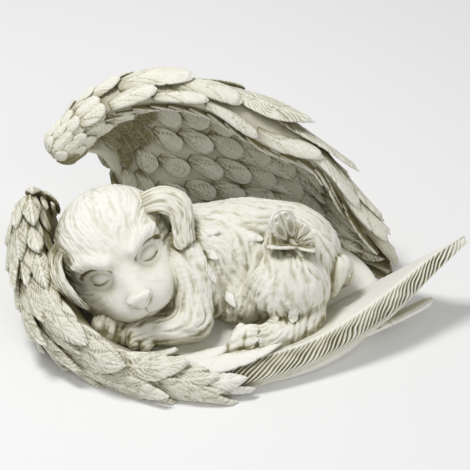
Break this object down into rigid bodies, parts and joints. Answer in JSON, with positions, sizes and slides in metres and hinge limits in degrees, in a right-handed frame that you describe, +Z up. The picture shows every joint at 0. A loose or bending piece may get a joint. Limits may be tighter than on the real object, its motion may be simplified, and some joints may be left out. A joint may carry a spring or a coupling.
{
  "type": "dog angel statue",
  "caption": "Sleeping puppy curled up between two feathered angel wings, with a small butterfly on its hip, cast in one piece as a garden or memorial ornament.",
  "frame": {"origin": "middle of the part's box, on the flat underside", "axes": "+X along the length, from the puppy's head towards its tail and the long wing tip; +Y towards the standing back wing; +Z up"},
  "size_m": [0.2496, 0.1592, 0.1211],
  "materials": {
    "cast_stone": "matt cream cast stone with an olive antique wash in the recesses"
  },
  "bodies": {
    "root": {"dog_angel_statue": "cast_stone"}
  },
  "joints": []
}
